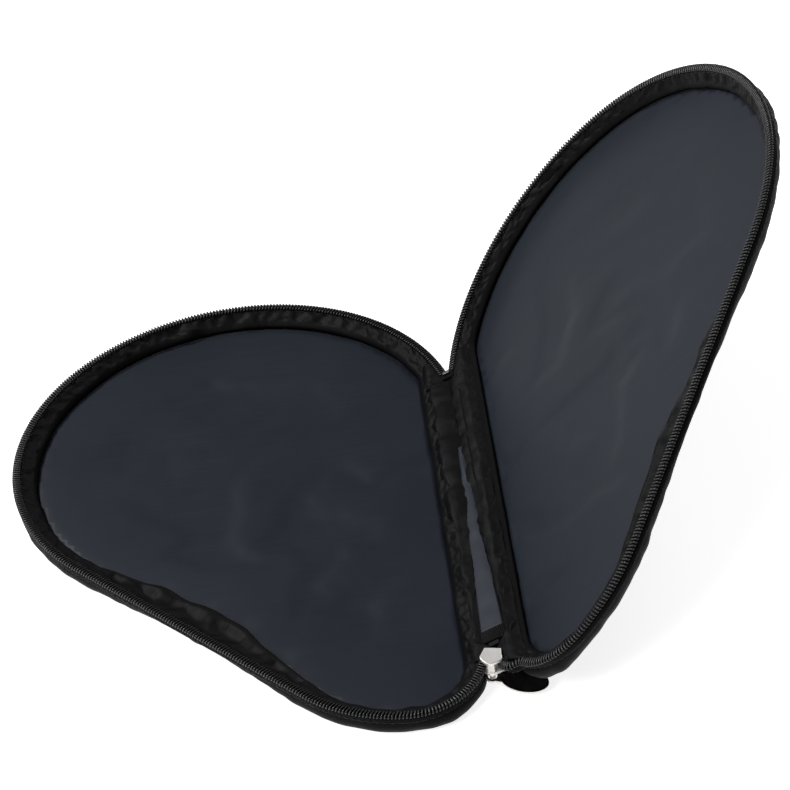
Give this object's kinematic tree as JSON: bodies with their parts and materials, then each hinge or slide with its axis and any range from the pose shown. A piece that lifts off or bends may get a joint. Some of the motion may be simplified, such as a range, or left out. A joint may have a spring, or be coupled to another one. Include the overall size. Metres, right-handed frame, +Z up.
{
  "type": "paddle case",
  "caption": "Soft padded case for a table tennis bat, pear-shaped with one straight side, lying open with its coil zip undone and its lid held part-way up.",
  "frame": {"origin": "on the resting face of the base, under the centre of the round blade pocket", "axes": "+Z up out of the resting face; +X along the spine towards the handle end; +Y from the base across the spine to the lid"},
  "size_m": [0.294, 0.3541, 0.144],
  "materials": {
    "outer_nylon": "matt woven nylon",
    "foam": "matt closed-cell foam",
    "lining_cloth": "smooth tricot, slight sheen",
    "spine_cloth": "smooth tricot, slight sheen",
    "binding_tape": "ribbed woven tape",
    "satin": "satin, shiny and gathered",
    "zip_tape": "fine twill tape",
    "zip_coil": "moulded nylon coil",
    "stop_metal": "satin",
    "slider_metal": "plated, lightly worn",
    "enamel": "polished enamel"
  },
  "bodies": {
    "base": {"base_foam_pad": "foam", "base_lining": "lining_cloth", "base_outer_panel": "outer_nylon", "base_seam_binding": "binding_tape", "base_wall": "outer_nylon", "base_wall_band": "satin", "base_zip_coil": "zip_coil", "base_zip_tape": "zip_tape"},
    "spine": {"spine_outer": "outer_nylon", "spine_lining": "spine_cloth", "spine_tab": "binding_tape", "tape_end": "binding_tape", "top_stop": "stop_metal", "bottom_stop": "stop_metal"},
    "lid": {"lid_foam_pad": "foam", "lid_lining": "lining_cloth", "lid_outer_panel": "outer_nylon", "lid_seam_binding": "binding_tape", "lid_wall": "outer_nylon", "lid_wall_band": "satin", "lid_zip_coil": "zip_coil", "lid_zip_tape": "zip_tape"},
    "slider": {"slider_body": "slider_metal"},
    "puller": {"pull_frame": "slider_metal", "pull_inlay_back": "enamel", "pull_inlay_front": "enamel"}
  },
  "joints": [
    {"name": "lid_fold", "type": "hinge", "parent": "base", "child": "lid", "pos_m": [0.065, 0.098, 0.013], "axis": [1, 0, 0], "range_deg": [-4, 138.8]},
    {"name": "spine_fold", "type": "hinge", "parent": "base", "child": "spine", "pos_m": [0.065, 0.098, 0.013], "axis": [1, 0, 0], "range_deg": [-2, 69.4]},
    {"name": "slider_travel", "type": "hinge", "parent": "base", "child": "slider", "pos_m": [0.1605, 0.062, 0.013], "axis": [0, 0, -1], "range_deg": [0, 85]},
    {"name": "pull_swivel", "type": "hinge", "parent": "slider", "child": "puller", "pos_m": [0.1717, 0.09492, 0.0075], "axis": [0, 0, -1], "range_deg": [-5, 80]}
  ],
  "couplings": [
    {"joint": "spine_fold", "follows": "lid_fold", "ratio": 0.5}
  ]
}
